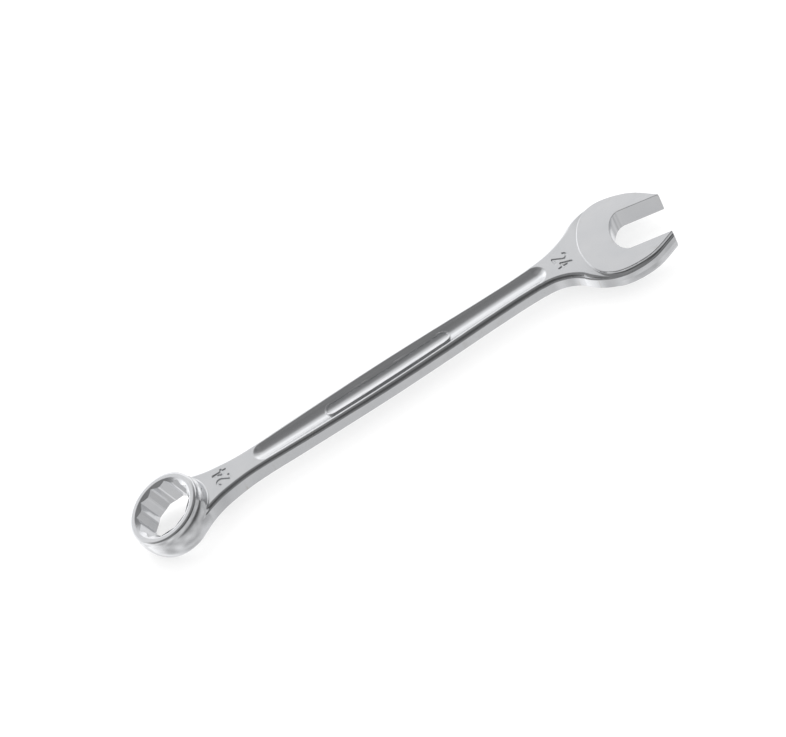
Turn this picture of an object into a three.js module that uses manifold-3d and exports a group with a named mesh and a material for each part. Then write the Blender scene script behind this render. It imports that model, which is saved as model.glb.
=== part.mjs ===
// A 24 mm combination wrench: one drop forging with a 12-point ring at one end and an open jaw at the other.
//
// Millimetres. The shank runs along +X from the ring to the jaw, +Z is up out of its upper face, and the
// jaw opens towards +X and a little towards -Y. Every dimension here is measured from the middle of the
// shank, and at the end the whole is moved so that the part's origin is the middle of the box round it.
//
// The forging is built whole, then parted on plane cuts across the shank into five named regions that
// meet face to face: ring_head, ring_neck, shank, jaw_neck and jaw_head.

import * as THREE from "three";
import { mergeVertices } from "three/addons/utils/BufferGeometryUtils.js";
import Module from "manifold-3d";

const wasm = await Module();
wasm.setup();

// Driving dimensions.

const NUT = 24; // across flats of the nut that both ends fit
const OFFSET = THREE.MathUtils.degToRad(15); // both the ring's tilt and the jaw's sideways angle

const RING_AT = -117; // the ring's centre along the shank
const RING_RISE = 0.8; // how far the ring's centre stands above the shank's mid-plane
const RING_TOP = 7.7; // the turned rim's face, from the ring's centre along its own axis
const RING_BOTTOM = 7.2; // the ring's lower face
const RIM_RADIUS = 17; // the turned rim round the ring's upper face
const RIM_CHAMFER = 1.5;
const RIM_DEPTH = 2.2; // how far down the turning goes
const RING_BELLY = 19.2; // the ring at its thickest
const BELLY_AT = -1; // how high that is
const BELLY_BAND = 1.2; // half of the height that the belly stays that thick for
const RING_FOOT = 16.3; // the ring's lower face
const FOOT_ROUND = 0.6;
const MOUTH_RADIUS = 14.5; // the hole's mouth at each face
const MOUTH_SLOPE = 0.55; // how fast the mouth closes in to the hole, as depth over radius

const BAND_HALF = 2.7; // half of the height of the flat band along the shank's edges
const SHANK_HALF = 4; // half of the shank's thickness
const NECK_HALF = 4.3; // half of the thickness of the flat necks beside the two ends
const BEVEL = 1.5; // how far the bevel over the band comes in from the shank's edge

const RIM = 2.5; // from the shank's edge in to the hollow forged into its upper and lower face
const TROUGH_RISE = 10; // the hollow's round floor is turned about a line this far above the face
const TROUGH_FROM = -74; // its two round ends, along the shank
const TROUGH_TO = 73.5;

const SLOT = 24.2; // the jaw's opening
const JAW_AT = 88.2; // where the jaw's centre line crosses the shank's
const BOSS_HALF = 4.76; // half of the boss's thickness
const BOSS_EDGE = 0.25; // the boss's rounded edges
const FLANGE_AT = 19.2; // the middle of the round part of the wider and thinner flange round the boss
const FLANGE_RADIUS = 24.5;
const FLANGE_HALF = 2.85;
const NEAR_FILLET = 20; // where the shank's edges swing out into the flange
const FAR_FILLET = 42;
const ROOT_AT = 18; // the bottom of the slot
const THROAT = 7; // from there to where the slot's flats start
const TIP_AT = 43.4; // the jaw's tips

// Half of the boss's outline and of the flange's in plan, from past the tips round to the centre line.
const BOSS_PLACES = [
  [48, 8],
  [42.8, 12.7],
  [33, 19.7],
  [21, 22.8],
  [10.8, 20.2],
  [4.7, 10],
  [3.2, 0],
];
const FLANGE_PLACES = [
  [48, 8.5],
  [43.4, 13.4],
  [33.5, 20.8],
  [22, 24.4],
  [10, 22.5],
  [-1.5, 13],
  [-5.2, 0],
];

// Where the forging is parted into its regions, along the shank.
const CUTS = [-97, -73, 73, 91];

// Half of the shank's width, at places along it. It flares out into the ring and into the flange.
const HALF_WIDTHS = [
  [-119, 17],
  [-113, 16.6],
  [-107, 14.4],
  [-101, 11.5],
  [-95, 9.4],
  [-89, 8.2],
  [-81, 7.2],
  [-71, 7.05],
  [-59, 7.5],
  [-35, 8.2],
  [-11, 8.6],
  [19, 8.2],
  [43, 7.5],
  [58, 7.2],
  [76, 7.2],
  [100, 7.2],
];

const STEPS_ROUND = 72; // facets round a full turn
const FAR = 200; // further than the wrench reaches

const STEPS_ALONG = 4; // lengths that each stretch between two of those places is cut into

// Helpers.

// A closed geometry as a manifold-3d solid.
function solid(geometry) {
  const bare = geometry.clone();
  bare.deleteAttribute("normal");
  bare.deleteAttribute("uv");
  const merged = mergeVertices(bare, 1e-4);
  return new wasm.Manifold(
    new wasm.Mesh({
      numProp: 3,
      vertProperties: new Float32Array(merged.attributes.position.array),
      triVerts: new Uint32Array(merged.index.array),
    }),
  );
}

// A solid as a named three.js mesh.
function meshOf(made, name, material) {
  const data = made.getMesh();
  const geometry = new THREE.BufferGeometry();
  geometry.setAttribute("position", new THREE.BufferAttribute(data.vertProperties, 3));
  geometry.setIndex(new THREE.BufferAttribute(data.triVerts, 1));
  geometry.computeVertexNormals();
  const mesh = new THREE.Mesh(geometry, material);
  mesh.name = name;
  return mesh;
}

// A profile of [radius, height] points turned about +Z.
function turned(profile) {
  const points = profile.map(([radius, height]) => new THREE.Vector2(radius, height));
  return new THREE.LatheGeometry(points, STEPS_ROUND).rotateX(Math.PI / 2);
}

// A flat outline made solid, from z = -half to z = half.
function slab(shape, half) {
  const options = { depth: 2 * half, bevelEnabled: false, curveSegments: STEPS_ROUND / 2 };
  return new THREE.ExtrudeGeometry(shape, options).translate(0, 0, -half);
}

// Puts a geometry made about the ring's own axis, or about the jaw's centre line, where it belongs.
const onRing = (geometry) => geometry.rotateY(-OFFSET).translate(RING_AT, 0, RING_RISE);
const onJaw = (geometry) => geometry.rotateZ(-OFFSET).translate(JAW_AT, 0, 0);

// Half of the shank's width at a place along it, between the two nearest places of the list.
function halfWidthAt(x) {
  const next = Math.max(1, HALF_WIDTHS.findIndex(([at]) => at >= x));
  const [from, fromHalf] = HALF_WIDTHS[next - 1];
  const [to, toHalf] = HALF_WIDTHS[next];
  return THREE.MathUtils.mapLinear(x, from, to, fromHalf, toHalf);
}

// The shank, one bevelled section after another along X, closed at both ends.
function shankGeometry() {
  const places = HALF_WIDTHS.map(([at, half]) => new THREE.Vector3(at, half, 0));
  const edge = new THREE.CatmullRomCurve3(places);
  const count = (HALF_WIDTHS.length - 1) * STEPS_ALONG;
  const corners = 8;
  const positions = [];
  const index = [];
  for (let i = 0; i <= count; i++) {
    const { x, y: half } = edge.getPoint(i / count);
    const face = half - BEVEL;
    const inNeck = x < CUTS[1] || x > CUTS[2];
    const top = inNeck ? NECK_HALF : SHANK_HALF;
    const section = [
      [half, BAND_HALF],
      [face, top],
      [-face, top],
      [-half, BAND_HALF],
      [-half, -BAND_HALF],
      [-face, -top],
      [face, -top],
      [half, -BAND_HALF],
    ];
    section.forEach(([y, z]) => positions.push(x, y, z));
  }
  for (let i = 0; i < count; i++) {
    for (let k = 0; k < corners; k++) {
      const a = i * corners + k;
      const b = i * corners + ((k + 1) % corners);
      index.push(a, b, a + corners, b, b + corners, a + corners);
    }
  }
  const last = count * corners;
  for (let k = 1; k < corners - 1; k++) {
    index.push(0, k + 1, k);
    index.push(last, last + k, last + k + 1);
  }
  const geometry = new THREE.BufferGeometry();
  geometry.setAttribute("position", new THREE.Float32BufferAttribute(positions, 3));
  geometry.setIndex(index);
  return geometry;
}

// The ring's outside: a turned and chamfered rim, a belly that spreads below it, and a rounded lower edge.
function ringGeometry() {
  const under = RING_TOP - RIM_DEPTH;
  return onRing(
    turned([
      [0, -RING_BOTTOM],
      [RING_FOOT - FOOT_ROUND, -RING_BOTTOM],
      [RING_FOOT, FOOT_ROUND - RING_BOTTOM],
      [RING_BELLY, BELLY_AT - BELLY_BAND],
      [RING_BELLY, BELLY_AT + BELLY_BAND],
      [RIM_RADIUS, under],
      [RIM_RADIUS, RING_TOP - RIM_CHAMFER],
      [RIM_RADIUS - RIM_CHAMFER, RING_TOP],
      [0, RING_TOP],
    ]),
  );
}

// The cone at one mouth of the ring's hole.
function mouthCone(side, face) {
  const cone = turned([
    [0, face - MOUTH_RADIUS * MOUTH_SLOPE],
    [MOUTH_RADIUS, face],
    [MOUTH_RADIUS + 1, face + MOUTH_SLOPE],
    [0, face + MOUTH_SLOPE],
  ]);
  if (side < 0) cone.rotateX(Math.PI);
  return solid(onRing(cone));
}

// The 12-point hole: two hexagons a twelfth of a turn apart, with a cone at each mouth.
function ringHole() {
  const long = 2 * (RING_TOP + RING_BOTTOM);
  const corner = NUT / 2 / Math.cos(Math.PI / 6);
  const hexagons = [0, Math.PI / 6].map((turn) => {
    const prism = new THREE.CylinderGeometry(corner, corner, long, 6);
    return solid(onRing(prism.rotateX(Math.PI / 2).rotateZ(turn)));
  });
  return hexagons[0]
    .add(hexagons[1])
    .add(mouthCone(1, RING_TOP))
    .add(mouthCone(-1, RING_BOTTOM));
}

// The hollow along one face of the shank, which leaves an even rim inside the shank's edges.
// Its cutter is round about a line above the face, and its ends are round in plan.
function troughCutter(side) {
  const steps = 32;
  const endWidth = halfWidthAt(TROUGH_FROM) - RIM;
  const profile = [];
  for (let i = 0; i <= steps; i++) {
    const x = TROUGH_FROM + ((TROUGH_TO - TROUGH_FROM) * (1 - Math.cos((Math.PI * i) / steps))) / 2;
    const fromEnd = Math.min(x - TROUGH_FROM, TROUGH_TO - x, endWidth);
    const round = Math.sqrt(1 - (1 - fromEnd / endWidth) ** 2);
    const width = (halfWidthAt(x) - RIM) * round;
    profile.push([Math.hypot(TROUGH_RISE, width), x]);
  }
  profile.unshift([0, TROUGH_FROM]);
  profile.push([0, TROUGH_TO]);
  const cutter = turned(profile).rotateY(Math.PI / 2);
  return solid(cutter.translate(0, 0, side * (SHANK_HALF + TROUGH_RISE)));
}

// An outline in the jaw's own frame that runs smoothly through these places and their mirror images.
function jawOutline(places) {
  const mirrored = places.slice(0, -1).map(([at, half]) => [at, -half]);
  const all = [...places, ...mirrored.reverse()];
  const points = all.map(([at, across]) => new THREE.Vector2(at, across));
  const shape = new THREE.Shape();
  shape.moveTo(points[0].x, points[0].y);
  shape.splineThru(points.slice(1));
  shape.closePath();
  return shape;
}

function flangeSolid() {
  return solid(onJaw(slab(jawOutline(FLANGE_PLACES), FLANGE_HALF)));
}

// One fillet in plan, where the shank's edge runs out into the flange.
function filletSolid(side, radius) {
  const centre = new THREE.Vector2(FLANGE_AT * Math.cos(OFFSET) + JAW_AT, -FLANGE_AT * Math.sin(OFFSET));
  const edge = HALF_WIDTHS[HALF_WIDTHS.length - 1][1];
  const rise = side * (edge + radius) - centre.y;
  const reach = FLANGE_RADIUS + radius;
  const middle = new THREE.Vector2(centre.x - Math.sqrt(reach ** 2 - rise ** 2), side * (edge + radius));
  const meet = centre.clone().sub(middle).setLength(radius).add(middle);
  const start = -side * (Math.PI / 2);
  const end = Math.atan2(meet.y - middle.y, meet.x - middle.x);
  const shape = new THREE.Shape();
  shape.moveTo(middle.x, 0);
  shape.lineTo(middle.x, side * edge);
  shape.absarc(middle.x, middle.y, radius, start, end, side < 0);
  shape.lineTo(centre.x, centre.y);
  shape.closePath();
  return solid(slab(shape, FLANGE_HALF));
}

// The boss that the slot is cut in, with its rounded upper and lower edges.
function bossSolid() {
  const options = {
    depth: 2 * (BOSS_HALF - BOSS_EDGE),
    bevelThickness: BOSS_EDGE,
    bevelSize: BOSS_EDGE,
    bevelOffset: -BOSS_EDGE,
    bevelSegments: 1,
    curveSegments: STEPS_ROUND / 2,
  };
  const boss = new THREE.ExtrudeGeometry(jawOutline(BOSS_PLACES), options);
  return solid(onJaw(boss.translate(0, 0, BOSS_EDGE - BOSS_HALF)));
}

// The slot: two parallel flats and a throat that is half of an ellipse.
function slotSolid() {
  const half = SLOT / 2;
  const flatsFrom = ROOT_AT + THROAT;
  const shape = new THREE.Shape();
  shape.moveTo(FAR, -half);
  shape.lineTo(FAR, half);
  shape.lineTo(flatsFrom, half);
  shape.absellipse(flatsFrom, 0, THROAT, half, Math.PI / 2, (3 * Math.PI) / 2, false, 0);
  shape.closePath();
  return solid(onJaw(slab(shape, 2 * BOSS_HALF)));
}

// What is past the jaw's tips.
function beyondTips() {
  return solid(onJaw(new THREE.BoxGeometry(FAR, FAR, FAR).translate(TIP_AT + FAR / 2, 0, 0)));
}

// The whole forging.
function forging() {
  const body = solid(shankGeometry())
    .add(solid(ringGeometry()))
    .add(flangeSolid())
    .add(filletSolid(-1, NEAR_FILLET))
    .add(filletSolid(1, FAR_FILLET))
    .add(bossSolid());
  return body
    .subtract(ringHole())
    .subtract(slotSolid())
    .subtract(beyondTips())
    .subtract(troughCutter(1))
    .subtract(troughCutter(-1));
}

// The stretch between two cuts, as a box to meet the forging with.
function stretch(from, to) {
  const box = new THREE.BoxGeometry(to - from, FAR, FAR);
  return solid(box.translate((from + to) / 2, 0, 0));
}

const chrome = () => new THREE.MeshStandardMaterial({ color: 0xc9cbcd, roughness: 0.22, metalness: 1 });

const names = ["ring_head", "ring_neck", "shank", "jaw_neck", "jaw_head"];
const ends = [-FAR, ...CUTS, FAR];
const whole = forging();

const wrench = new THREE.Group();
names.forEach((name, i) => {
  const region = whole.intersect(stretch(ends[i], ends[i + 1]));
  wrench.add(meshOf(region, name, chrome()));
});

// The part's origin is the middle of the box round it.
const box = new THREE.Box3().setFromObject(wrench);
wrench.position.sub(box.getCenter(new THREE.Vector3()));

export default wrench;
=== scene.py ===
# The looks of a 24 mm combination wrench, one chrome-plated forging.
#
# The forging's surface is written as one signed distance in millimetres, measured from the middle of the
# shank: X runs from the ring to the jaw, Y across, Z up. The surface is traced on a grid, thinned where it is
# flat, and put back exactly on the distance's zero, with its shading normals taken from the distance itself.

import math

import bmesh
import bpy
import numpy as np
from mathutils import Matrix, Vector


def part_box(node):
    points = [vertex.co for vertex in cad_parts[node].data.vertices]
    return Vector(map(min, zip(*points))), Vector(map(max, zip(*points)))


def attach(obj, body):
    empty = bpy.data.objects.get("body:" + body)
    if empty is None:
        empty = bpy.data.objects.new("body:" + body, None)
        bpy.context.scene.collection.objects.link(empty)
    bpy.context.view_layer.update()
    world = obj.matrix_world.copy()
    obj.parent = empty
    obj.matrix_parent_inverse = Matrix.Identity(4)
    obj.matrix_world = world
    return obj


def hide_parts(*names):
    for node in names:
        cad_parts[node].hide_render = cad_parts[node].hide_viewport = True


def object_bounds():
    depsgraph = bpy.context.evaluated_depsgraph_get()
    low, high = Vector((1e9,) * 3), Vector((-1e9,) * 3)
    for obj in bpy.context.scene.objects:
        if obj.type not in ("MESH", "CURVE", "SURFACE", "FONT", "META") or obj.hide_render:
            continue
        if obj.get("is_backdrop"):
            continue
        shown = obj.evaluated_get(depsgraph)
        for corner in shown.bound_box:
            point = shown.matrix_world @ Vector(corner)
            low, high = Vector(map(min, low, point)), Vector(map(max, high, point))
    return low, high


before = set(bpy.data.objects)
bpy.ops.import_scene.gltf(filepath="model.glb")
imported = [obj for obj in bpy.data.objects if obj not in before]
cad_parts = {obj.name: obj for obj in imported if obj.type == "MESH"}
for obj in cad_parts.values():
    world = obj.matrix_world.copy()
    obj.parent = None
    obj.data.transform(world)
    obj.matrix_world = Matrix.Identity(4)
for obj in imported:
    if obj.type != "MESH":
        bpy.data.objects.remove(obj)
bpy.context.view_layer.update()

MM = 0.001
CAD_NODES = ("ring_head", "ring_neck", "shank", "jaw_neck", "jaw_head")

# The middle of the shank, which all the shapes below are measured from.
shank_low, shank_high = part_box("shank")
MIDDLE = (shank_low + shank_high) / 2

# ---------------------------------------------------------------- driving dimensions, in millimetres

OFFSET = math.radians(15)  # the ring's tilt and the jaw's sideways angle
NUT = 24.0

RING_AT = -117.0
RING_RISE = 0.8
RING_TOP = 7.7  # the turned rim's face, along the ring's own axis
RING_BOTTOM = -7.2
RIM_RADIUS = 17.3
RIM_CHAMFER = 0.45
RIM_ROUND = 0.15
CHAMFER_ROUND = 0.5
COLLAR_FROM = -2.0  # the rim's turned wall reaches down to here, inside the belly
COLLAR_FILL = 0.06
BELLY_RADIUS = 19.4
BELLY_AT = -1.0
BELLY_ROUND = 4.0
BELLY_TUCK = 0.3  # the belly's upper cone passes this far inside the rim's wall,
BELLY_DROP = 1.5  # this far below the rim's face
FOOT_RADIUS = 16.3
FOOT_ROUND = 0.6
RING_FILLET = 0.8  # where the ring meets its neck
POINT_ROUND = 0.35  # between the 12 points
HOLE_ROUND = 0.12
MOUTH_RADIUS = 14.5
MOUTH_SLOPE = 0.55

JAW_AT = 88.2
BOSS_HALF = 4.76
SLOT = 24.2
FLATS_FROM = 25.0
THROAT_DEPTH = 7.0
TIP_AT = 43.4
TIP_ROUND = 0.45
SLOT_ROUND = 0.15

# Half of the shank's width at places along it.
HALF_WIDTHS = (
    (-117, 17.0), (-113, 16.6), (-107, 14.4), (-101, 11.5), (-95, 9.4), (-89, 8.2), (-81, 7.2),
    (-71, 7.05), (-59, 7.5), (-35, 8.2), (-11, 8.6), (19, 8.2), (43, 7.5), (58, 7.3), (76, 7.8), (100, 7.8),
)
# Half of the height of the band along the shank's edges, and half of the shank's thickness.
BAND_HALVES = ((-105, 3.3), (-85, 3.15), (-60, 2.9), (-10, 2.5), (60, 2.5), (80, 2.6), (140, 2.8))
FACE_HALVES = ((-100, 4.5), (-80, 4.3), (-60, 4.1), (60, 4.0), (85, 4.0), (140, 4.0))
# Half of the thickness where the neck runs out beside the boss, at places along the slot's own direction.
RUN_OUT = ((-20, 4.0), (-10, 4.0), (-2, 4.12), (3, 4.2), (7, 3.85), (12, 3.1), (16, 2.9), (30, 2.9))
LEDGE = 0.35  # the band stands this far out of the wall above it
STEP = 0.4  # the wall's height, up to the bevel
BAND_ROUND = 0.3
BEVEL_ROUND = 1.0
FACE_ROUND = 0.4
LEDGE_FILLET = 0.2
FLARE_FROM = 40.0  # the jaw neck's arcs lie beyond this place,
RUN_OUT_FROM = 75.0  # and its run-out beyond this one

TROUGH_FROM = -74.0
TROUGH_TO = 73.5
TROUGH_RIM = 2.35
TROUGH_RISE = 9.5
TROUGH_ROUND = 0.2
RING_END = 4.7  # from each end of the trough to the centre that its end turns about
JAW_END = 4.85

# The jaw's two outlines, as places (along the slot, half across it) that a smooth curve goes through.
BOSS_PLACES = (
    (46.0, 10.0), (39.6, 15.2), (32.2, 20.1), (22.7, 22.6), (12.4, 21.2), (6.0, 13.6), (3.8, 6.0), (3.2, 0.0),
)
FLANGE_PLACES = (
    (47.0, 11.0), (40.4, 15.8), (33.6, 20.8), (25.0, 23.9), (15.3, 24.2), (6.1, 20.7), (-0.8, 14.3),
    (-4.3, 6.8), (-5.3, 0.0),
)
BOSS_CENTRE = 22.0
FLANGE_CENTRE = 20.0
FLANGE_AT = 19.2
FLANGE_RADIUS = 24.5
BOSS_DRAFT = math.radians(10)
BOSS_ROUND = 0.2
BOSS_FILLET = 0.15  # where the boss rises out of the neck
FLANGE_FILLET = 1.2  # where it stands on the flange
NECK_FACE = 4.2
FLANGE_HALF = 2.9
NECK_HALF = 7.8
NEAR_FILLET = 20.0
FAR_FILLET = 42.0
JAW_REGION = 70.0  # the jaw's shapes are only worked out beyond this place,
RING_REGION = -85.0  # and the ring's only before this one

# The size number, 24, cut into both faces of both necks.
DIGIT_HEIGHT = 6.2
DIGIT_HALF = 1.6
DIGIT_PITCH = 4.6
DIGIT_STROKE = 0.45
DIGIT_DEPTH = 0.45
DIGIT_ROUND = 0.1
HOOK_FROM = -0.6  # the 2's hook, in radians
HOOK_TO = 2.9
FOUR_LEVEL = 0.3  # the 4's level stroke, as a share of the digit's height
FOUR_UPRIGHT = 0.8
FOUR_OVERHANG = 0.2
RING_NUMBER_AT = -87.6
JAW_NUMBER_AT = 79.3
JAW_NUMBER_ASIDE = 1.2

# A plain raised frame with round ends in each trough.
FRAME_AT = -7.0
FRAME_LENGTH = 56.0
FRAME_RADIUS = 3.1
RIB_HALF = 0.4
RIB_RISE = 0.6
RIB_FILLET = 0.25

# The plating's colour, its roughness, and how the edges wear.
PLATE_DARK = (0.74, 0.75, 0.765, 1)
PLATE_LIGHT = (0.78, 0.785, 0.795, 1)
PLATE_WORN = (0.68, 0.665, 0.64, 1)
PLATE_MOTTLE = 90.0
MARKS = 2600.0
MARKS_STRETCH = (0.12, 1.0, 1.0)  # the polishing marks run along the shank
ROUGHNESS = (0.13, 0.24)
WORN_ROUGHER = 0.16
WORN_EDGES = (0.53, 0.62)  # how sharp an edge is where wear begins, and where it is full
WORN_PATCHES = 220.0
WORN_PATCH_SPAN = (0.4, 0.65)
WAVES = 140.0
MARKS_IN_BUMP = 0.1
BUMP_STRENGTH = 0.25
BUMP_HEIGHT = 0.04 * MM

# What the chrome reflects, as (degrees round the X axis, brightness). The back horizon is at 0 degrees, and
# straight overhead is at 90.
STUDIO_TONES = (
    (-180, 0.1), (-173, 0.25), (-163, 0.55), (-145, 0.62), (-110, 0.7), (-60, 0.9), (-20, 1.1), (0, 1.25),
    (25, 1.2), (44, 0.8), (58, 0.26), (90, 0.2), (120, 0.22), (140, 0.16), (160, 0.05), (180, 0.1),
)
COOL = 1.01
ROOM_PATCHES = 2.6
ROOM_PATCH_SPAN = (0.3, 0.7)
ROOM_UNEVEN = (0.72, 1.28)
ROOM_SIDES = (1.15, 0.85)  # left, right
WHITE_STRENGTH = 1.12  # what everything but a reflection sees

# The stage. The floor and the lamp are in metres; the lamp's and the camera's places are in millimetres.
FLOOR_HALF = 6.0
FLOOR_TONE = 0.45
FLOOR_GLOW = 0.6
FLOOR_ROUGHNESS = 0.9
LAMP_SIZE = 1.4
LAMP_POWER = 6.0
LAMP_AT = (100, 900, 1100)

CAMERA_LENS = 148.14
SENSOR_WIDTH = 36.0
CAMERA_AT = (-110.1, -999.5, 956.8)
CAMERA_TOWARDS = (-3.594, 3.644, 0)
CAMERA_ROLL = math.radians(-28.608)
CAMERA_FAR = 20.0

# How the surface is traced.
GRID = 0.25
MOST_TRIANGLES = 190000
TRACE_LOW = (-137.0, -32.0, -13.0)
TRACE_HIGH = (136.0, 21.5, 14.0)
BLOCK = 8  # grid points along each side of a block
BLOCK_REACH = 1.1  # a block is traced when its middle lies within this many block sides of the surface,
BLOCK_SPARE = 0.6  # and this much more
BLOCKS_AT_ONCE = 400
SLOPE_REACH = 0.02
LEAST_SLOPE = 0.25
NORMAL_REACH = 0.03
INWARD_SHARE = 0.8
INWARD_MOST = 0.6
SLIVER = 0.002 * MM  # shorter edges than this are closed up


# ---------------------------------------------------------------- shape helpers

def along(table, x):
    """A value given at places along the shank, joined by smooth steps."""
    xs = np.array([row[0] for row in table], float)
    ys = np.array([row[1] for row in table], float)
    slope = np.gradient(ys, xs)
    i = np.clip(np.searchsorted(xs, x) - 1, 0, len(xs) - 2)
    width = xs[i + 1] - xs[i]
    t = np.clip((x - xs[i]) / width, 0, 1)
    rest = 1 - t
    value = ys[i] * rest * rest * (1 + 2 * t) + ys[i + 1] * t * t * (3 - 2 * t)
    return value + width * t * rest * (slope[i] * rest - slope[i + 1] * t)


def cosine_series(places, centre):
    """The outline through these places and their mirror images, as radius = a sum of cosines of the angle."""
    angle = np.array([math.atan2(b, a - centre) for a, b in places])
    radius = np.array([math.hypot(b, a - centre) for a, b in places])
    return np.linalg.solve(np.cos(np.outer(angle, np.arange(len(places)))), radius)


def outline(series, centre, a, b):
    """Signed distance, near the outline, from points (a, b) in its plane."""
    u = a - centre
    rho = np.hypot(u, b) + 1e-9
    angle = np.arctan2(b, u)
    radius = np.zeros_like(rho)
    turn = np.zeros_like(rho)
    for k, weight in enumerate(series):
        radius += weight * np.cos(k * angle)
        turn -= weight * k * np.sin(k * angle)
    return (rho - radius) / np.sqrt(1 + (turn / radius) ** 2)


def join(a, b, r):
    """Two solids as one, with a fillet of radius r where they meet."""
    return np.maximum(r, np.minimum(a, b)) - np.hypot(np.maximum(r - a, 0), np.maximum(r - b, 0))


def blend(a, b, depth):
    """Two solids as one where they meet at a shallow angle, the crease filled to this depth."""
    near = np.maximum(1 - np.abs(a - b) / (4 * depth), 0)
    return np.minimum(a, b) - depth * near * near


def common(a, b, r):
    """What two solids share, with its edge rounded to radius r."""
    return np.minimum(-r, np.maximum(a, b)) + np.hypot(np.maximum(r + a, 0), np.maximum(r + b, 0))


BOSS_SERIES = cosine_series(BOSS_PLACES, BOSS_CENTRE)
FLANGE_SERIES = cosine_series(FLANGE_PLACES, FLANGE_CENTRE)
COS, SIN = math.cos(OFFSET), math.sin(OFFSET)


# ---------------------------------------------------------------- the forging

def flare(strip, x, y, side, fillet):
    """The strip's edge on one side, swung outwards on an arc until it runs into the flange."""
    hub_x = JAW_AT + FLANGE_AT * COS
    hub_y = -FLANGE_AT * SIN
    centre_y = side * (NECK_HALF + fillet)
    centre_x = hub_x - math.sqrt((FLANGE_RADIUS + fillet) ** 2 - (centre_y - hub_y) ** 2)
    way_x = (hub_x - centre_x) / (FLANGE_RADIUS + fillet)
    way_y = (hub_y - centre_y) / (FLANGE_RADIUS + fillet)
    arc = fillet - np.hypot(x - centre_x, y - centre_y)
    beyond = side * (way_x * (y - centre_y) - way_y * (x - centre_x))
    return np.where(x > centre_x, np.minimum(np.maximum(strip, x - hub_x), np.maximum(arc, beyond)), strip)


def stroke(p, q, ends):
    """Distance from points (p, q) to a straight stroke."""
    (p0, q0), (p1, q1) = ends
    dp, dq = p1 - p0, q1 - q0
    t = np.clip(((p - p0) * dp + (q - q0) * dq) / (dp * dp + dq * dq), 0, 1)
    return np.hypot(p - p0 - t * dp, q - q0 - t * dq)


def digit_two(p, q):
    """Distance to a 2 standing on q = 0, as a hook, a slant and a foot."""
    bowl = DIGIT_HEIGHT - DIGIT_HALF
    angle = np.arctan2(q - bowl, p)
    on_hook = (angle > HOOK_FROM) & (angle < HOOK_TO)
    turned = np.where(on_hook, np.abs(np.hypot(p, q - bowl) - DIGIT_HALF), DIGIT_HEIGHT)
    end = (DIGIT_HALF * math.cos(HOOK_FROM), bowl + DIGIT_HALF * math.sin(HOOK_FROM))
    slant = stroke(p, q, (end, (-DIGIT_HALF, 0)))
    foot = stroke(p, q, ((-DIGIT_HALF, 0), (DIGIT_HALF, 0)))
    return np.minimum(turned, np.minimum(slant, foot))


def digit_four(p, q):
    """Distance to a 4 standing on q = 0."""
    bar_height = FOUR_LEVEL * DIGIT_HEIGHT
    upright = stroke(p, q, ((FOUR_UPRIGHT, 0), (FOUR_UPRIGHT, DIGIT_HEIGHT)))
    slant = stroke(p, q, ((FOUR_UPRIGHT, DIGIT_HEIGHT), (-DIGIT_HALF, bar_height)))
    level = stroke(p, q, ((-DIGIT_HALF, bar_height), (DIGIT_HALF + FOUR_OVERHANG, bar_height)))
    return np.minimum(upright, np.minimum(slant, level))


def size_number(x, y, z):
    """Distance in plan to the size number on either neck, its foot towards the middle of the shank.

    The number on the lower face is turned over, so that it reads the right way round from below.
    """
    reads = np.where(z > 0, 1.0, -1.0)
    up = np.where(x > 0, x - JAW_NUMBER_AT, RING_NUMBER_AT - x)
    across = reads * np.where(x > 0, -y - JAW_NUMBER_ASIDE, y)
    return np.minimum(digit_two(across + DIGIT_PITCH / 2, up), digit_four(across - DIGIT_PITCH / 2, up))


def bar(x, y, z, a, b):
    """The shank and both necks, which share one bevelled edge and carry the troughs and the size numbers."""
    half = along(HALF_WIDTHS, x)
    spread = along(HALF_WIDTHS, x + 0.5) - along(HALF_WIDTHS, x - 0.5)
    strip = (np.abs(y) - half) / np.sqrt(1 + spread * spread)
    strip = np.maximum(strip, RING_AT - x)
    flared = np.where(y > 0, flare(strip, x, y, 1, FAR_FILLET), flare(strip, x, y, -1, NEAR_FILLET))
    flange = outline(FLANGE_SERIES, FLANGE_CENTRE, a, b)
    plan = np.where(x > FLARE_FROM, np.minimum(flared, flange), strip)
    height = np.abs(z)
    band_half = along(BAND_HALVES, x)
    face_half = np.where(x > RUN_OUT_FROM, along(RUN_OUT, a), along(FACE_HALVES, x))
    band = common(plan, height - band_half, BAND_ROUND)
    inner = plan + LEDGE
    bevel = (inner + height - band_half - STEP) / math.sqrt(2)
    core = common(common(inner, bevel, BEVEL_ROUND), height - face_half, FACE_ROUND)
    body = join(band, core, LEDGE_FILLET)
    start = TROUGH_FROM + RING_END
    stop = TROUGH_TO - JAW_END
    place = np.clip(x, start, stop)
    reach = np.hypot(along(HALF_WIDTHS, place) - TROUGH_RIM, TROUGH_RISE)
    face_there = along(FACE_HALVES, place)
    hollow = reach - np.sqrt((x - place) ** 2 + y * y + (height - face_there - TROUGH_RISE) ** 2)
    body = common(body, hollow, TROUGH_ROUND)
    frame_line = np.hypot(np.maximum(np.abs(x - FRAME_AT) - FRAME_LENGTH / 2, 0), y) - FRAME_RADIUS
    rib = np.maximum(np.abs(frame_line) - RIB_HALF, hollow - RIB_RISE)
    body = join(body, np.maximum(rib, height - face_half), RIB_FILLET)
    digits = size_number(x, y, z) - DIGIT_STROKE
    return common(body, -np.maximum(digits, face_half - DIGIT_DEPTH - height), DIGIT_ROUND)


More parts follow.
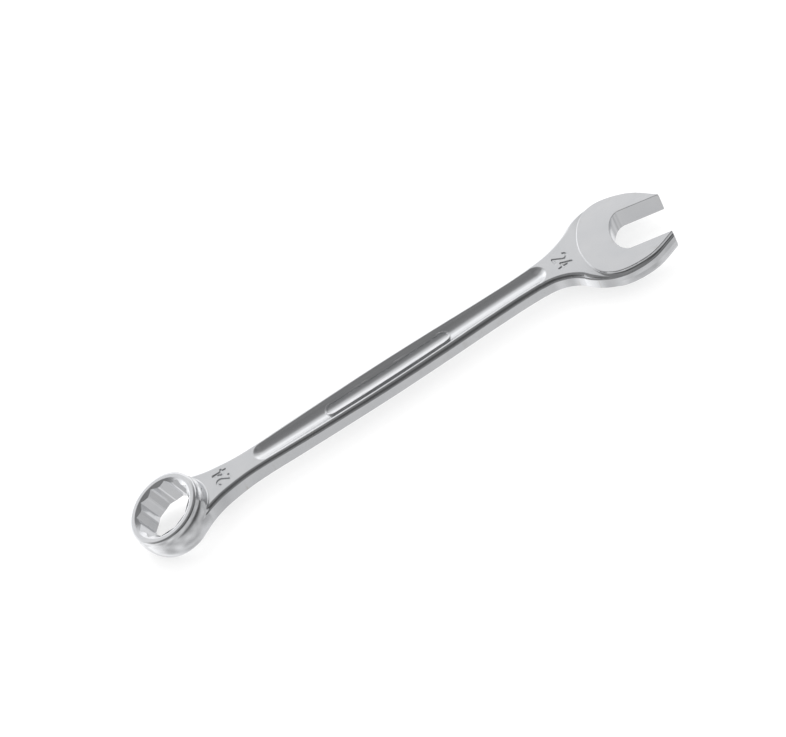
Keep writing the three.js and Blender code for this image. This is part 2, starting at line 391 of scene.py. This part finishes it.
def jaw(body, a, b, z):
    """Adds the boss and opens the slot."""
    height = np.abs(z)
    wall = outline(BOSS_SERIES, BOSS_CENTRE, a, b)
    wall = wall * math.cos(BOSS_DRAFT) + (height - BOSS_HALF) * math.sin(BOSS_DRAFT)
    drop = (NECK_FACE - along(RUN_OUT, a)) / (NECK_FACE - FLANGE_HALF)
    fillet = np.clip(BOSS_FILLET + (FLANGE_FILLET - BOSS_FILLET) * drop, BOSS_FILLET, FLANGE_FILLET)
    body = join(body, common(wall, height - BOSS_HALF, BOSS_ROUND), fillet)
    body = common(body, a - TIP_AT, TIP_ROUND)
    u = (FLATS_FROM - a) / THROAT_DEPTH
    v = b / (SLOT / 2)
    size = np.hypot(u, v) + 1e-9
    slope = np.hypot(u / THROAT_DEPTH, v / (SLOT / 2)) / size + 1e-9
    throat = (size - 1) / slope
    slot = np.where(a > FLATS_FROM, np.abs(b) - SLOT / 2, throat)
    return common(body, -slot, SLOT_ROUND)


def ring(body, x, y, z):
    """Adds the tilted ring and cuts its 12-point hole."""
    dx = x - RING_AT
    dz = z - RING_RISE
    u = dx * COS + dz * SIN
    t = dz * COS - dx * SIN
    r = np.hypot(u, y)
    collar = common(r - RIM_RADIUS, t - RING_TOP, RIM_ROUND)
    chamfer = (r - RIM_RADIUS + t - RING_TOP + RIM_CHAMFER) / math.sqrt(2)
    collar = common(collar, chamfer, CHAMFER_ROUND)
    collar = np.maximum(collar, COLLAR_FROM - t)
    lean_up = math.atan2(BELLY_RADIUS - RIM_RADIUS + BELLY_TUCK, RING_TOP - BELLY_AT - BELLY_DROP)
    lean_down = math.atan2(BELLY_RADIUS - FOOT_RADIUS, BELLY_AT - RING_BOTTOM)
    upper = (r - BELLY_RADIUS) * math.cos(lean_up) + (t - BELLY_AT) * math.sin(lean_up)
    lower = (r - BELLY_RADIUS) * math.cos(lean_down) - (t - BELLY_AT) * math.sin(lean_down)
    belly = common(upper, lower, BELLY_ROUND)
    belly = common(belly, RING_BOTTOM - t, FOOT_ROUND)
    head = blend(collar, np.maximum(belly, t - RING_TOP + RIM_CHAMFER), COLLAR_FILL)
    body = join(body, head, RING_FILLET)
    apothem = NUT / 2
    one = hexagon(u, y, 0.0) - apothem
    other = hexagon(u, y, math.pi / 6) - apothem
    hole = join(one, other, POINT_ROUND)
    top_mouth = (r - MOUTH_RADIUS) + (RING_TOP - t) / MOUTH_SLOPE
    bottom_mouth = (r - MOUTH_RADIUS) + (t - RING_BOTTOM) / MOUTH_SLOPE
    lean = MOUTH_SLOPE / math.hypot(1, MOUTH_SLOPE)
    hole = np.minimum(hole, np.minimum(top_mouth, bottom_mouth) * lean)
    return common(body, -hole, HOLE_ROUND)


def hexagon(u, v, turn):
    """How far out points lie towards the nearest of a hexagon's six flats."""
    reach = None
    for k in range(3):
        direction = turn + k * math.pi / 3
        side = np.abs(u * math.cos(direction) + v * math.sin(direction))
        reach = side if reach is None else np.maximum(reach, side)
    return reach


def wrench(points):
    """Signed distance to the whole forging."""
    x, y, z = points[:, 0], points[:, 1], points[:, 2]
    a = (x - JAW_AT) * COS - y * SIN
    b = (x - JAW_AT) * SIN + y * COS
    body = bar(x, y, z, a, b)
    at_jaw = x > JAW_REGION
    if at_jaw.any():
        body[at_jaw] = jaw(body[at_jaw], a[at_jaw], b[at_jaw], z[at_jaw])
    at_ring = x < RING_REGION
    if at_ring.any():
        body[at_ring] = ring(body[at_ring], x[at_ring], y[at_ring], z[at_ring])
    return body


# ---------------------------------------------------------------- tracing the surface

def sampled(low, counts, spacing):
    """The distance on a grid, worked out only in the blocks that the surface passes through."""
    blocks = [-(-n // BLOCK) for n in counts]
    grid = np.full([n * BLOCK for n in blocks], 1.0, np.float32)
    size = BLOCK * spacing
    centres = np.stack(np.meshgrid(*[low[i] + (np.arange(blocks[i]) + 0.5) * size for i in range(3)],
                                   indexing="ij"), -1).reshape(-1, 3)
    rough = wrench(centres)
    near = np.abs(rough) < size * BLOCK_REACH + BLOCK_SPARE
    offsets = np.stack(np.meshgrid(*[np.arange(BLOCK)] * 3, indexing="ij"), -1).reshape(-1, 3)
    index = np.stack(np.unravel_index(np.arange(len(centres)), blocks), -1)
    chosen = index[near]
    for part in np.array_split(chosen, max(1, len(chosen) // BLOCKS_AT_ONCE)):
        places = (part[:, None, :] * BLOCK + offsets[None]).reshape(-1, 3)
        values = wrench(low + places * spacing)
        grid[places[:, 0], places[:, 1], places[:, 2]] = values
    inside = index[~near & (rough < 0)]
    for cell in inside:
        grid[tuple(slice(i * BLOCK, (i + 1) * BLOCK) for i in cell)] = -1.0
    return grid


def surface_net(grid, low, spacing):
    """One vertex in each cell that the surface crosses, and a quad round each grid edge that it crosses."""
    inside = grid < 0
    cell_count = np.zeros([n - 1 for n in grid.shape], np.uint8)
    corners = [(i, j, k) for i in (0, 1) for j in (0, 1) for k in (0, 1)]

    def corner(array, c):
        return array[tuple(slice(o, array.shape[n] - 1 + o) for n, o in enumerate(c))]

    for c in corners:
        cell_count += corner(inside, c)
    active = (cell_count > 0) & (cell_count < 8)
    cells = np.stack(np.nonzero(active), -1)
    number = np.full(active.shape, -1, np.int32)
    number[active] = np.arange(len(cells))
    total = np.zeros((len(cells), 3))
    hits = np.zeros(len(cells))
    for c in corners:
        for axis in range(3):
            if c[axis]:
                continue
            d = list(c)
            d[axis] = 1
            p, q = cells + c, cells + d
            fp = grid[p[:, 0], p[:, 1], p[:, 2]].astype(float)
            fq = grid[q[:, 0], q[:, 1], q[:, 2]].astype(float)
            cross = (fp < 0) != (fq < 0)
            share = fp[cross] / (fp[cross] - fq[cross])
            total[cross] += p[cross] + share[:, None] * (q[cross] - p[cross])
            hits[cross] += 1
    vertices = low + total / hits[:, None] * spacing
    quads = []
    for axis in range(3):
        other, third = (axis + 1) % 3, (axis + 2) % 3
        first = [slice(None)] * 3
        second = [slice(None)] * 3
        first[axis] = slice(0, -1)
        second[axis] = slice(1, None)
        change = inside[tuple(first)] != inside[tuple(second)]
        at = np.stack(np.nonzero(change), -1)
        keep = (at[:, other] > 0) & (at[:, third] > 0)
        keep &= (at[:, other] < active.shape[other]) & (at[:, third] < active.shape[third])
        at = at[keep]
        goes_out = inside[at[:, 0], at[:, 1], at[:, 2]]
        ring_cells = []
        for back_other, back_third in ((1, 1), (0, 1), (0, 0), (1, 0)):
            c = at.copy()
            c[:, other] -= back_other
            c[:, third] -= back_third
            ring_cells.append(number[c[:, 0], c[:, 1], c[:, 2]])
        quad = np.stack(ring_cells, -1)
        quad[~goes_out] = quad[~goes_out][:, ::-1]
        quads.append(quad)
    return vertices, np.concatenate(quads)


def gradient(points, reach=SLOPE_REACH):
    """The distance's slope at points, by central differences."""
    slope = np.zeros_like(points)
    for axis in range(3):
        shift = np.zeros(3)
        shift[axis] = reach
        slope[:, axis] = (wrench(points + shift) - wrench(points - shift)) / (2 * reach)
    return slope


def settled(points, rounds):
    """Points moved on to the distance's zero."""
    for _ in range(rounds):
        slope = gradient(points)
        value = wrench(points)
        move = value[:, None] * slope / np.maximum((slope ** 2).sum(1), LEAST_SLOPE)[:, None]
        length = np.linalg.norm(move, axis=1, keepdims=True)
        move *= np.minimum(1, GRID / np.maximum(length, 1e-9))
        points = points - move
    return points


def mesh_from(name, vertices, faces):
    """A mesh from arrays of vertices and of faces with the same number of corners."""
    mesh = bpy.data.meshes.new(name)
    count, corners = faces.shape
    mesh.vertices.add(len(vertices))
    mesh.vertices.foreach_set("co", vertices.astype(np.float32).ravel())
    mesh.loops.add(count * corners)
    mesh.loops.foreach_set("vertex_index", faces.astype(np.int32).ravel())
    mesh.polygons.add(count)
    mesh.polygons.foreach_set("loop_start", np.arange(0, count * corners, corners, dtype=np.int32))
    mesh.update(calc_edges=True)
    return mesh


def corner_normals(mesh, points):
    """Each corner's normal, taken a little way inside its triangle where the triangle is a large one."""
    corner = np.zeros(len(mesh.loops), np.int32)
    mesh.loops.foreach_get("vertex_index", corner)
    corner = corner.reshape(-1, 3)
    places = points[corner]
    centre = places.mean(1, keepdims=True)
    inward = centre - places
    length = np.linalg.norm(inward, axis=2, keepdims=True)
    shift = np.clip((length - GRID) * INWARD_SHARE, 0, INWARD_MOST)
    looked = (places + inward / np.maximum(length, 1e-9) * shift).reshape(-1, 3)
    normals = gradient(looked, NORMAL_REACH)
    normals /= np.linalg.norm(normals, axis=1, keepdims=True) + 1e-12
    return normals.astype(np.float32)


def traced_forging():
    """The wrench's mesh: traced, thinned, put back on the surface and given the surface's own normals."""
    low = np.array(TRACE_LOW)
    counts = np.ceil((np.array(TRACE_HIGH) - low) / GRID).astype(int) + 1
    grid = sampled(low, counts, GRID)
    vertices, quads = surface_net(grid, low, GRID)
    vertices = settled(vertices, 1)
    dense = bpy.data.objects.new("dense", mesh_from("dense", vertices, quads))
    bpy.context.scene.collection.objects.link(dense)
    thin = dense.modifiers.new("thin", "DECIMATE")
    thin.ratio = min(1.0, MOST_TRIANGLES / (2 * len(quads)))
    thin.use_collapse_triangulate = True
    graph = bpy.context.evaluated_depsgraph_get()
    mesh = bpy.data.meshes.new_from_object(dense.evaluated_get(graph))
    bpy.data.objects.remove(dense)
    mesh.name = "wrench_forging"
    points = np.zeros(len(mesh.vertices) * 3, np.float32)
    mesh.vertices.foreach_get("co", points)
    points = settled(points.reshape(-1, 3).astype(float), 2)
    placed = points * MM + np.array(MIDDLE)
    mesh.vertices.foreach_set("co", placed.astype(np.float32).ravel())

    # The shortest edges are closed up, and the places read back.
    work = bmesh.new()
    work.from_mesh(mesh)
    bmesh.ops.dissolve_degenerate(work, dist=SLIVER, edges=work.edges)
    bmesh.ops.triangulate(work, faces=work.faces)
    work.to_mesh(mesh)
    work.free()
    placed = np.zeros(len(mesh.vertices) * 3, np.float32)
    mesh.vertices.foreach_get("co", placed)
    points = (placed.reshape(-1, 3).astype(float) - np.array(MIDDLE)) / MM
    mesh.polygons.foreach_set("use_smooth", np.ones(len(mesh.polygons), bool))
    mesh.update()
    mesh.normals_split_custom_set(corner_normals(mesh, points))
    return mesh


# ---------------------------------------------------------------- node helpers

def noise(tree, vector, scale, detail):
    """A noise texture's value at a place."""
    node = tree.nodes.new("ShaderNodeTexNoise")
    node.inputs["Scale"].default_value = scale
    node.inputs["Detail"].default_value = detail
    tree.links.new(vector, node.inputs["Vector"])
    return node.outputs["Fac"]


def ranged(tree, value, source, target):
    """A value moved from one range into another, and kept within it."""
    node = tree.nodes.new("ShaderNodeMapRange")
    node.inputs["From Min"].default_value = source[0]
    node.inputs["From Max"].default_value = source[1]
    node.inputs["To Min"].default_value = target[0]
    node.inputs["To Max"].default_value = target[1]
    tree.links.new(value, node.inputs["Value"])
    return node.outputs["Result"]


def arithmetic(tree, operation, *terms):
    """Arithmetic on values, each a number or another node's output."""
    node = tree.nodes.new("ShaderNodeMath")
    node.operation = operation
    for socket, term in zip(node.inputs, terms):
        if isinstance(term, float):
            socket.default_value = term
        else:
            tree.links.new(term, socket)
    return node.outputs["Value"]


# ---------------------------------------------------------------- the chrome

def chrome_material():
    """Satin-polished chrome: faint polishing marks, a slight waviness from the forging, and worn edges."""
    material = bpy.data.materials.new("chrome")
    material.use_nodes = True
    tree = material.node_tree
    shader = tree.nodes["Principled BSDF"]
    shader.inputs["Metallic"].default_value = 1.0
    where = tree.nodes.new("ShaderNodeTexCoord").outputs["Object"]

    colours = tree.nodes.new("ShaderNodeValToRGB")
    colours.color_ramp.elements[0].position = 0.3
    colours.color_ramp.elements[0].color = PLATE_DARK
    colours.color_ramp.elements[1].position = 0.7
    colours.color_ramp.elements[1].color = PLATE_LIGHT
    tree.links.new(noise(tree, where, PLATE_MOTTLE, 4.0), colours.inputs["Fac"])

    stretched = tree.nodes.new("ShaderNodeMapping")
    stretched.inputs["Scale"].default_value = MARKS_STRETCH
    tree.links.new(where, stretched.inputs["Vector"])
    marks = noise(tree, stretched.outputs["Vector"], MARKS, 3.0)
    rough = ranged(tree, marks, (0, 1), ROUGHNESS)

    # Wear: along the edges the plating is rubbed duller and a little warmer, in uneven stretches.
    shape = tree.nodes.new("ShaderNodeNewGeometry")
    edges = ranged(tree, shape.outputs["Pointiness"], WORN_EDGES, (0, 1))
    patches = ranged(tree, noise(tree, where, WORN_PATCHES, 3.0), WORN_PATCH_SPAN, (0, 1))
    wear = arithmetic(tree, "MULTIPLY", edges, patches)
    tree.links.new(arithmetic(tree, "MULTIPLY_ADD", wear, WORN_ROUGHER, rough), shader.inputs["Roughness"])
    worn = tree.nodes.new("ShaderNodeMixRGB")
    worn.inputs["Color2"].default_value = PLATE_WORN
    tree.links.new(wear, worn.inputs["Fac"])
    tree.links.new(colours.outputs["Color"], worn.inputs["Color1"])
    tree.links.new(worn.outputs["Color"], shader.inputs["Base Color"])

    bump = tree.nodes.new("ShaderNodeBump")
    bump.inputs["Strength"].default_value = BUMP_STRENGTH
    bump.inputs["Distance"].default_value = BUMP_HEIGHT
    uneven = arithmetic(tree, "MULTIPLY_ADD", marks, MARKS_IN_BUMP, noise(tree, where, WAVES, 1.0))
    tree.links.new(uneven, bump.inputs["Height"])
    tree.links.new(bump.outputs["Normal"], shader.inputs["Normal"])
    return material


# ---------------------------------------------------------------- the stage

def place(x, y, z):
    """A point measured from the middle of the shank in millimetres, in the frame's own metres."""
    return Vector((x, y, z)) * MM + MIDDLE


def camera():
    """The view: from the near side, above, with the shank running up to the right."""
    data = bpy.data.cameras.new("camera")
    data.lens = CAMERA_LENS
    data.sensor_width = SENSOR_WIDTH
    data.clip_end = CAMERA_FAR
    obj = bpy.data.objects.new("camera", data)
    bpy.context.scene.collection.objects.link(obj)
    stand = place(*CAMERA_AT)
    forward = (place(*CAMERA_TOWARDS) - stand).normalized()
    level = forward.cross(Vector((0, 0, 1))).normalized()
    upright = level.cross(forward)
    right = level * math.cos(CAMERA_ROLL) + upright * math.sin(CAMERA_ROLL)
    up = right.cross(forward)
    turn = Matrix((right, up, -forward)).transposed()
    obj.matrix_world = Matrix.Translation(stand) @ turn.to_4x4()
    bpy.context.scene.camera = obj


def studio_tones(tree, swing):
    """The room's brightness by the direction's swing round the X axis, as a share of a whole turn."""
    node = tree.nodes.new("ShaderNodeValToRGB")
    ramp = node.color_ramp
    ramp.interpolation = "EASE"

    def toned(stop, tone):
        stop.color = (tone, tone, tone * COOL, 1)

    toned(ramp.elements[0], STUDIO_TONES[0][1])
    toned(ramp.elements[1], STUDIO_TONES[-1][1])
    for degrees, tone in STUDIO_TONES[1:-1]:
        toned(ramp.elements.new((degrees + 180) / 360), tone)
    tree.links.new(swing, node.inputs["Fac"])
    return node.outputs["Color"]


def studio_world():
    """White all round. Reflections find it dark above and in front, and bright behind."""
    world = bpy.data.worlds.new("studio")
    bpy.context.scene.world = world
    world.use_nodes = True
    tree = world.node_tree
    tree.nodes.clear()
    out = tree.nodes.new("ShaderNodeOutputWorld")
    where = tree.nodes.new("ShaderNodeTexCoord").outputs["Generated"]
    parts = tree.nodes.new("ShaderNodeSeparateXYZ")
    tree.links.new(where, parts.inputs["Vector"])

    # The direction's swing round the X axis: down, the back horizon, up, the front horizon, down again.
    swing = arithmetic(tree, "ARCTAN2", parts.outputs["Z"], parts.outputs["Y"])
    tones = studio_tones(tree, ranged(tree, swing, (-math.pi, math.pi), (0, 1)))

    # A gently uneven room, dimmer towards its right.
    uneven = ranged(tree, noise(tree, where, ROOM_PATCHES, 1.0), ROOM_PATCH_SPAN, ROOM_UNEVEN)
    sides = ranged(tree, parts.outputs["X"], (-1, 1), ROOM_SIDES)

    studio = tree.nodes.new("ShaderNodeBackground")
    tree.links.new(tones, studio.inputs["Color"])
    tree.links.new(arithmetic(tree, "MULTIPLY", uneven, sides), studio.inputs["Strength"])
    white = tree.nodes.new("ShaderNodeBackground")
    white.inputs["Color"].default_value = (1, 1, 1, 1)
    white.inputs["Strength"].default_value = WHITE_STRENGTH
    rays = tree.nodes.new("ShaderNodeLightPath")
    mix = tree.nodes.new("ShaderNodeMixShader")
    tree.links.new(rays.outputs["Is Glossy Ray"], mix.inputs["Fac"])
    tree.links.new(white.outputs["Background"], mix.inputs[1])
    tree.links.new(studio.outputs["Background"], mix.inputs[2])
    tree.links.new(mix.outputs["Shader"], out.inputs["Surface"])


def floor():
    """A plain pale floor, under the lowest point of the wrench."""
    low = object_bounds()[0]
    mesh = bpy.data.meshes.new("floor")
    square = ((-1, -1), (1, -1), (1, 1), (-1, 1))
    corners = [(FLOOR_HALF * x, FLOOR_HALF * y, low[2]) for x, y in square]
    mesh.from_pydata(corners, [], [(0, 1, 2, 3)])
    obj = bpy.data.objects.new("floor", mesh)
    bpy.context.scene.collection.objects.link(obj)
    material = bpy.data.materials.new("floor")
    material.use_nodes = True
    shader = material.node_tree.nodes["Principled BSDF"]
    shader.inputs["Base Color"].default_value = (FLOOR_TONE, FLOOR_TONE, FLOOR_TONE, 1)
    shader.inputs["Emission Color"].default_value = (1, 1, 1, 1)
    shader.inputs["Emission Strength"].default_value = FLOOR_GLOW
    shader.inputs["Roughness"].default_value = FLOOR_ROUGHNESS
    shader.inputs["Specular IOR Level"].default_value = 0.0
    mesh.materials.append(material)
    obj.visible_glossy = False
    obj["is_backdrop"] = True


def soft_light():
    """One large soft light overhead and behind, for a faint shadow under the wrench."""
    data = bpy.data.lights.new("overhead", "AREA")
    data.shape = "DISK"
    data.size = LAMP_SIZE
    data.energy = LAMP_POWER
    obj = bpy.data.objects.new("overhead", data)
    obj.location = place(*LAMP_AT)
    obj.rotation_euler = (MIDDLE - obj.location).to_track_quat("-Z", "Y").to_euler()
    obj.visible_glossy = False
    bpy.context.scene.collection.objects.link(obj)


forging = bpy.data.objects.new("wrench_forging", traced_forging())
bpy.context.scene.collection.objects.link(forging)
forging.data.materials.clear()
forging.data.materials.append(chrome_material())
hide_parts(*CAD_NODES)
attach(forging, "root")

bpy.context.scene.view_settings.view_transform = "Standard"
camera()
studio_world()
floor()
soft_light()
